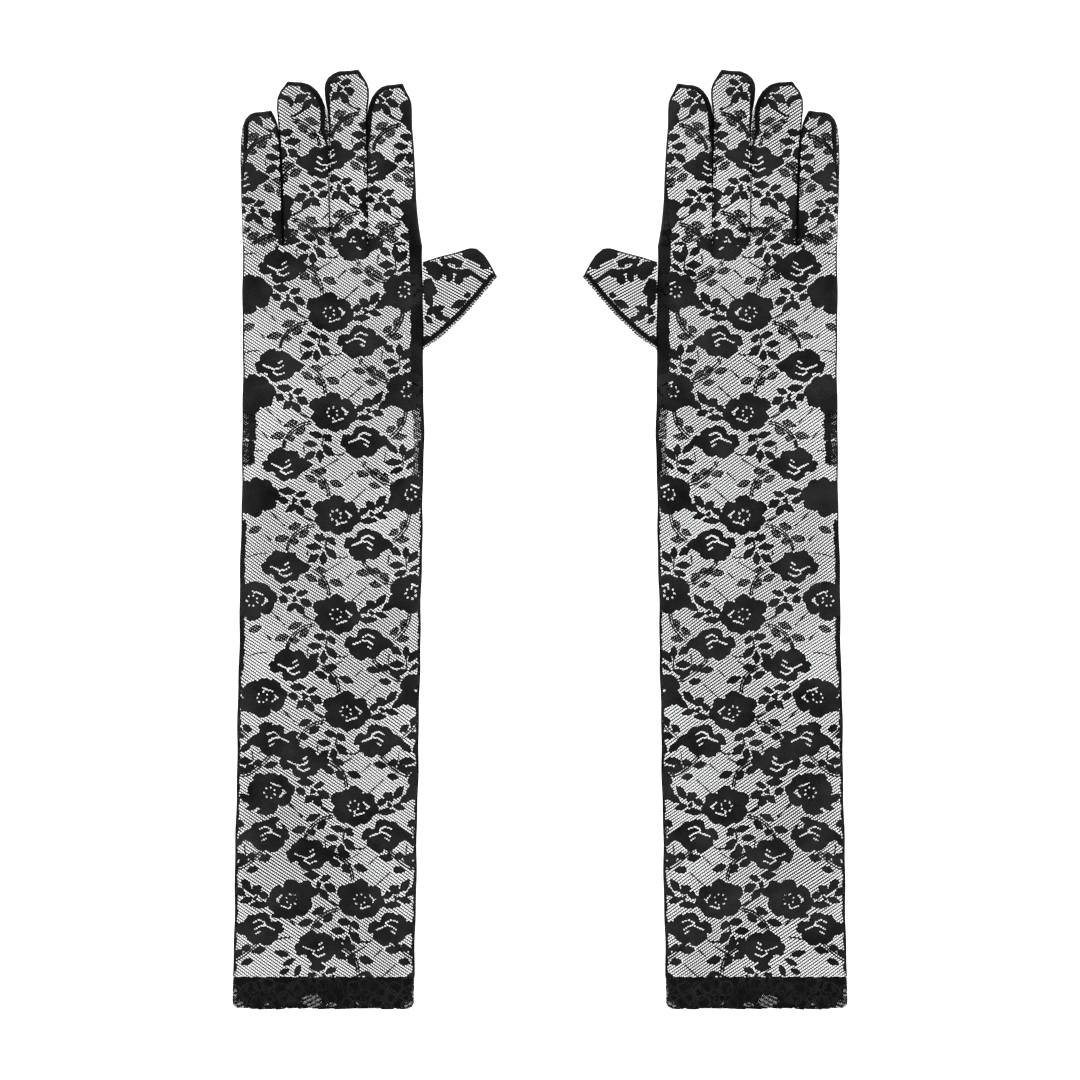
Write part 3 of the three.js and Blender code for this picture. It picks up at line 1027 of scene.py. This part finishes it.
def draw_hem_lace():
    """Relief, shown tone on tone by a painted highlight: a row of roses with smaller petals and
    leaves between them.
    """
    field = MotifField((-170, -245), (-40, -210))
    for x, y, mirror_x, mirror_y in (
        (-136.5, -227.5, 1, 1), (-112.5, -225.5, -1, -1), (-88.5, -228.0, 1, -1),
        (-160.0, -228.5, 1, 1), (-65.5, -227.0, -1, 1),
    ):
        placing = Placing(field, x, y, mirror_x, mirror_y)
        placing.petals([(dx, dy, radius * 0.95) for dx, dy, radius in ROSE_PETALS[:-1]])
        placing.petals([
            (2.6 * math.cos(turn), 2.6 * math.sin(turn), 1.9) for turn in (0.3, 1.6, 2.8, 4.1, 5.4)
        ])
        placing.leaves([
            (12.4, 4.6, 6.5, 3, 50), (12.2, -2.2, 6, 2.8, -60), (0.5, 10.6, 7, 2.6, 5),
            (-11.5, -5.5, 5, 2.6, 60),
        ])
    return field


HEM_LACE = draw_hem_lace()


def hem_motifs(points):
    x, y = points.T
    _, relief, veil = HEM_LACE.sample(points)
    grain = 0.22 * np.sin(x * 2.9 + y) * np.sin(y * 3.1 - x * 0.8)
    top_line = np.exp(-(((y - HEM_Y + 0.8) / 0.7) ** 2))
    # The relief lifts the hem's surface and also picks where the hem is painted lighter as a
    # highlight
    return np.full(len(points), FAR), np.clip(relief + grain, 0, 1) * 1.4 + 0.5 * top_line, veil


def hem_outline():
    """The band, with rounded lower corners and a slightly uneven lower edge."""
    left_low, right_low = (float(edge) for edge in side_edges(np.array(OPENING_Y)))
    across = np.linspace(left_low + 2.5, right_low - 2.5, 50)
    lower = OPENING_Y + 0.55 + 0.25 * np.sin(across / 5.1) + 0.15 * np.sin(across / 1.7)
    ups = np.linspace(OPENING_Y + 3, HEM_Y, 8)
    left, right = side_edges(ups)
    return np.vstack([
        np.column_stack([left, ups]),
        np.column_stack([right, ups])[::-1],
        [(right_low - 0.7, OPENING_Y + 1.5)],
        np.column_stack([across, lower])[::-1],
        [(left_low + 0.7, OPENING_Y + 1.5)],
    ])


def between(low_y, high_y):
    return lambda points: (points[:, 1] >= low_y) & (points[:, 1] < high_y)


BODY_PANELS = {
    "hand": (WRIST_Y, KNUCKLE_Y),
    "forearm": (FOLD_Y, WRIST_Y),
    "upper_sleeve": (HEM_Y, FOLD_Y),
}
BEND = 18.0  # length over which the cloth turns past a fold line
THUMB_HINGE_X, THUMB_HINGE_Y, THUMB_BEND = -58.8, 117, 8
FOLD_AXIS_Z = 6.6  # height of the fold lines
# Panels with a bend line: the panel whose body they turn from, and where the bend starts and ends
BENDS = {
    "forearm": ("hand", (CENTRE_X, WRIST_Y), (CENTRE_X, WRIST_Y - BEND)),
    "upper_sleeve": ("forearm", (CENTRE_X, FOLD_Y), (CENTRE_X, FOLD_Y - BEND)),
    "thumb": ("hand", (THUMB_HINGE_X, THUMB_HINGE_Y), (THUMB_HINGE_X + THUMB_BEND, THUMB_HINGE_Y)),
}
for finger in FINGERS:
    BENDS[finger] = ("hand", (CENTRE_X, KNUCKLE_Y), (CENTRE_X, KNUCKLE_Y + BEND))
RIDES = {"hand": "hand", "hem": "upper_sleeve"}


def add_pieces(node_name, panel, finish_name, parts, materials, slot_name, cut=None):
    """The same piece on both gloves: it stands for its CAD node. A piece of the hand or hem is
    attached to its body; a piece of a panel with a bend line keeps its place.
    """
    for prefix, mirror in (("left_", 1), ("right_", -1)):
        piece = build_mesh(f"{prefix}{node_name}_{finish_name}", parts, mirror, materials)
        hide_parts(prefix + node_name)
        if panel in BENDS:
            parent, *line = BENDS[panel]
            start, end = ((x * mirror * MM, y * MM, FOLD_AXIS_Z * MM) for x, y in line)
            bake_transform(piece)
            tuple(start)
            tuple(end)
        else:
            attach(piece, prefix + RIDES[panel])
        if cut is not None:
            polygon_area(cut) * MM * MM


def add_seam(node_name, panel, finish_name, parts):
    """A piece of overlock yarn (material 0) and of lace folded into it (material 1)."""
    add_pieces(node_name, panel, finish_name, parts, [SEAM, LACE], "seam")


HEM_HIGHLIGHT_RELIEF = 1.05  # relief from which the hem takes its lighter material, a painted highlight


def highlight_by_relief(geometry, motifs):
    """The raised petals of the hem in a lighter material, a painted highlight, and its ground in the
    darker seam yarn.
    """
    vertices, face_arrays = geometry
    raised, ground = [], []
    for faces in face_arrays:
        height = motifs(vertices[faces].mean(axis=1)[:, :2])[1]
        raised.append(faces[height > HEM_HIGHLIGHT_RELIEF])
        ground.append(faces[height <= HEM_HIGHLIGHT_RELIEF])
    return [(vertices, raised, 0), (vertices, ground, 1)]


def in_finger(name):
    """Takes a place in the arm's lace to the finger that shows it."""
    across, dx, dy = FINGER_LACE[name]
    return lambda points: (points - (dx, dy)) * (across, 1)


def make_panel(name, face, nets, height, outline, cut, keep, motifs, opening=plain_opening,
               threads=(), placed=np.array):
    """One lace panel, back or palm, with the cords that run over it."""
    back = face == "back"
    surface, side, net = (height, 1, nets[0]) if back else (palm_height, -1, nets[1])
    geometry = lace_geometry(net, outline, keep, motifs, surface, side, opening)
    if name == "hem":
        # The hem's raised faces are painted lighter, a highlight on its relief; its ground takes the
        # darker seam yarn
        parts, materials, slot_name = highlight_by_relief(geometry, motifs), [HEM_PAINTED_HIGHLIGHT, SEAM], "hem_lace"
    else:
        parts, materials, slot_name = [(*geometry, 0)], [LACE], "lace"
    parts += [(*made, 0) for made in cords(threads, placed, keep, outline, surface, side)]
    add_pieces(f"{name}_{face}", name, "lace", parts, materials, slot_name, cut)


def make_lace_panels():
    whole = body_outline(OPENING_Y, KNUCKLE_Y + 3)
    top = 300
    thumb = np.array(THUMB, float)
    hem = hem_outline()
    for face in ("back", "palm"):
        for name, (low_y, high_y) in BODY_PANELS.items():
            make_panel(name, face, BODY_NETS, back_height, whole, body_outline(low_y, high_y),
                       between(low_y, high_y), arm_motifs, threads=ARM_LACE.threads)
        for name, points in FINGERS.items():
            make_panel(name, face, BODY_NETS, back_height, STALLS[name],
                       np.array(points, float), between(KNUCKLE_Y, top), arm_motifs,
                       threads=ARM_LACE.threads, placed=in_finger(name))
        make_panel("thumb", face, THUMB_NETS, thumb_height, thumb, thumb,
                   between(0, top), THUMB_LACE.sample, threads=THUMB_LACE.threads)
        make_panel("hem", face, HEM_NETS, hem_height, hem, hem,
                   between(OPENING_Y, HEM_Y + 1), hem_motifs, hem_opening)


def edge_line(side, low_y, high_y):
    """The hand's and sleeve's edge, so directed that the cloth is on its right-hand side."""
    rows = np.linspace(low_y, high_y, max(3, int((high_y - low_y) / EDGE_STEP)))
    left, right = side_edges(rows)
    line = np.column_stack([left if side < 0 else right, rows])
    return line if side < 0 else line[::-1]


# Folded allowances along the side seams: height from, height to, width, distance inward
OUTER_ALLOWANCES = {
    "hand": [(50.0, 73.0, 3.3, 3.4)],
    "forearm": [(38.0, 50.0, 3.1, 3.2), (-65, 10, 2.4, 0.1), (-89, -65, 1.4, 0.1)],
    "upper_sleeve": [(-216, -91, 1.3, 0.1)],
}
INNER_ALLOWANCES = {
    "hand": [(84.0, 147.9, 6.4, 0.0), (66.0, 84.0, 6.2, 0.0), (50, 66, 1.6, 0.1)],
    "forearm": [(34.0, 50.0, 2.6, 0.1), (-89, 34, 1.2, 0.1)],
    "upper_sleeve": [(-216, -91, 1.3, 0.1)],
}


# Denser mesh of the folded allowances: side, height from and to, width from the edge, opening
MESH_FOLDS = {
    "hand": [(-1, 50.3, 76.0, 5.0, 0.3), (1, 50.3, 68.0, 5.6, 0.5)],
    "forearm": [(-1, 37.0, 49.7, 5.0, 0.3), (1, 29.0, 49.7, 5.4, 0.5)],
}


def mesh_fold(outline, surface, opening):
    """A sliver of the denser mesh, without motifs."""
    return lace_geometry(FOURCHETTE_NET, np.array(outline, float), level(True), no_motifs, surface, 1,
                         level(opening))


def fold_outline(side, low_y, high_y, width):
    edge = edge_line(side, low_y, high_y)
    ripple = 0.5 * np.sin(edge[:, 1] * 0.8) + 0.3 * np.sin(edge[:, 1] * 2.1)
    outer = edge + (-side * 0.3, 0)
    inner = edge - side * np.column_stack([width + ripple, np.zeros(len(edge))])
    return np.vstack([outer, inner[::-1]])


def make_side_seams():
    for name, (low_y, high_y) in BODY_PANELS.items():
        for label, side, folds in (
            ("outer", -1, OUTER_ALLOWANCES[name]), ("inner", 1, INNER_ALLOWANCES[name]),
        ):
            seam = band(edge_line(side, low_y, high_y), 0.8, seam_height, insets=-0.1,
                        foot=0.2, columns=5)
            parts = [(*seam, 0)]
            for from_y, to_y, width, inward in folds:
                line = edge_line(side, from_y, to_y)
                parts.append((*strip(line, width, inward), 1))
            for fold_side, from_y, to_y, width, opening in MESH_FOLDS.get(name, ()):
                if fold_side == side:
                    outline = fold_outline(side, from_y, to_y, width)
                    parts.append((*mesh_fold(outline, allowance_height, opening), 1))
            add_seam(f"{name}_{label}_seam", name, "overlock", parts)


# Width of the seam band at each point of a finger's outline, and its distance inward
STALL_BANDS = {
    "little": (
        [.5, .5, 1.4, 2.6, 2.8, 2.8, 2.8, 2.6, 2.5, 2.3, 1.5, 1.0, .8, .7, .7, .7],
        [0, 0, 1.5, 1.4, .6, 0, 0, 0, 0, 0, 0, 0, 0, 0, 0, 0],
    ),
    "ring": (
        [.8, .8, .8, .8, .8, .9, 1, 1.2, 1.6, 2.3, 2.5, 2.6, 2.8, 2.9, 2.9, 2.8, 2.7, 2.4, .6, .2],
        [0, 0, 0, 0, 0, 0, 0, 0, 0, 0, 0, 0, 0, 0, 0, .3, 1.2, 2.2, .6, 0],
    ),
    "middle": (
        [.2, .2, .8, 1.3, 2.6, 2.9, 2.9, 2.9, 2.8, 2.6, 2.5, 2.3, 1.6, 1.2, 1, .9, .8, .6, .5,
         .4, .2, .2],
        [0] * 22,
    ),
    "index": (
        [.2, .2, .9, 2.5, 2.7, 2.8, 2.8, 2.8, 2.7, 2.6, 2.5, 2.3, 1.6, 1.3, 1.1, 1, 1, 1, 1, 1.2,
         2.2, 4.6, 6.2, 6.4],
        [0] * 24,
    ),
}
# Slivers of the folded mesh between the fingers, beside the seam bands
FOURCHETTES = {
    "little": [(-149.9, 201), (-148.6, 202), (-148.7, 181), (-150.0, 181)],
    "ring": [(-108.0, 214), (-106.3, 212), (-105.5, 204), (-105.5, 190), (-107.6, 192)],
    "middle": [(-89.8, 209), (-87.0, 213), (-86.9, 194), (-89.4, 195)],
    "index": [(-86.5, 198), (-84.4, 197), (-84.6, 186), (-86.4, 187)],
}


def no_motifs(points):
    return np.full(len(points), FAR), np.zeros(len(points)), np.zeros(len(points), bool)


def make_stall_strips():
    for name, points in FINGERS.items():
        widths, insets = STALL_BANDS[name]
        rim = 0.4 if name == "little" else 0.25
        sliver = mesh_fold(FOURCHETTES[name], lambda spots: back_height(spots) + 0.35, 0.62)
        parts = [
            (*band(points, widths, back_height, insets), 0),
            (*band(points, rim, seam_height, foot=0.2, columns=4), 0),
            (*sliver, 1),
        ]
        add_seam(f"{name}_side_strip", name, "seam", parts)

    lower_edge = THUMB[9:] + THUMB[:1]
    upper_edge = THUMB[1:10]
    raw_edge = np.array(lower_edge) + (-0.75, 0.85)
    parts = [
        (*band(lower_edge, 2.3, thumb_height, 1.3, foot=0.3), 0),
        (*band(upper_edge, [.9, .9, .9, 1.2, 1.6, 1.2, 1, 1, 1.2], thumb_height, foot=0.2), 0),
    ]
    parts += [(*loop, 0) for loop in serged_edge(raw_edge, 1.25, thumb_height)]
    add_seam("thumb_side_strip", "thumb", "seam", parts)


make_lace_panels()
make_side_seams()
make_stall_strips()


# --- floor, light and camera, in metres
FLOOR_REACH = 4.0
FLOOR_GLOW = 1.1  # paper white, as in the photo
CAMERA_HEIGHT, CAMERA_LENS = 3.005, 200


def make_floor():
    mesh = bpy.data.meshes.new("floor")
    corners = [(x * FLOOR_REACH, y * FLOOR_REACH, 0) for x, y in ((-1, -1), (1, -1), (1, 1), (-1, 1))]
    mesh.from_pydata(corners, [], [(0, 1, 2, 3)])
    floor = add_to_scene("floor", mesh)
    material = bpy.data.materials.new("pale_floor")
    material.use_nodes = True
    shader = material.node_tree.nodes["Principled BSDF"]
    for entry, value in (
        ("Base Color", (0.95, 0.95, 0.95, 1)), ("Roughness", 0.9), ("Specular IOR Level", 0.0),
        ("Emission Color", (1, 1, 1, 1)), ("Emission Strength", FLOOR_GLOW),
    ):
        shader.inputs[entry].default_value = value
    mesh.materials.append(material)


def make_light():
    world = bpy.data.worlds.new("studio")
    world.use_nodes = True
    background = world.node_tree.nodes["Background"]
    background.inputs["Color"].default_value = (1, 1, 1, 1)
    background.inputs["Strength"].default_value = 0.85
    bpy.context.scene.world = world
    for name, place, size, power in (
        ("key", (-0.9, 0.9, 1.6), 1.2, 9.0),
        ("fill", (1.0, -0.6, 1.5), 1.4, 5.0),
    ):
        light = bpy.data.lights.new(name, "AREA")
        light.size = size
        light.energy = power
        lamp = add_to_scene(name, light)
        lamp.location = place
        x, y, z = place
        lamp.rotation_euler = (math.atan2(math.hypot(x, y), z), 0, math.atan2(x, -y))


def make_camera():
    data = bpy.data.cameras.new("camera")
    data.lens = CAMERA_LENS
    data.sensor_width = 36
    data.clip_end = 20
    camera = add_to_scene("camera", data)
    camera.location = (0, 0, CAMERA_HEIGHT)
    bpy.context.scene.camera = camera


make_floor()
make_light()
make_camera()
bpy.context.scene.view_settings.view_transform = "Standard"
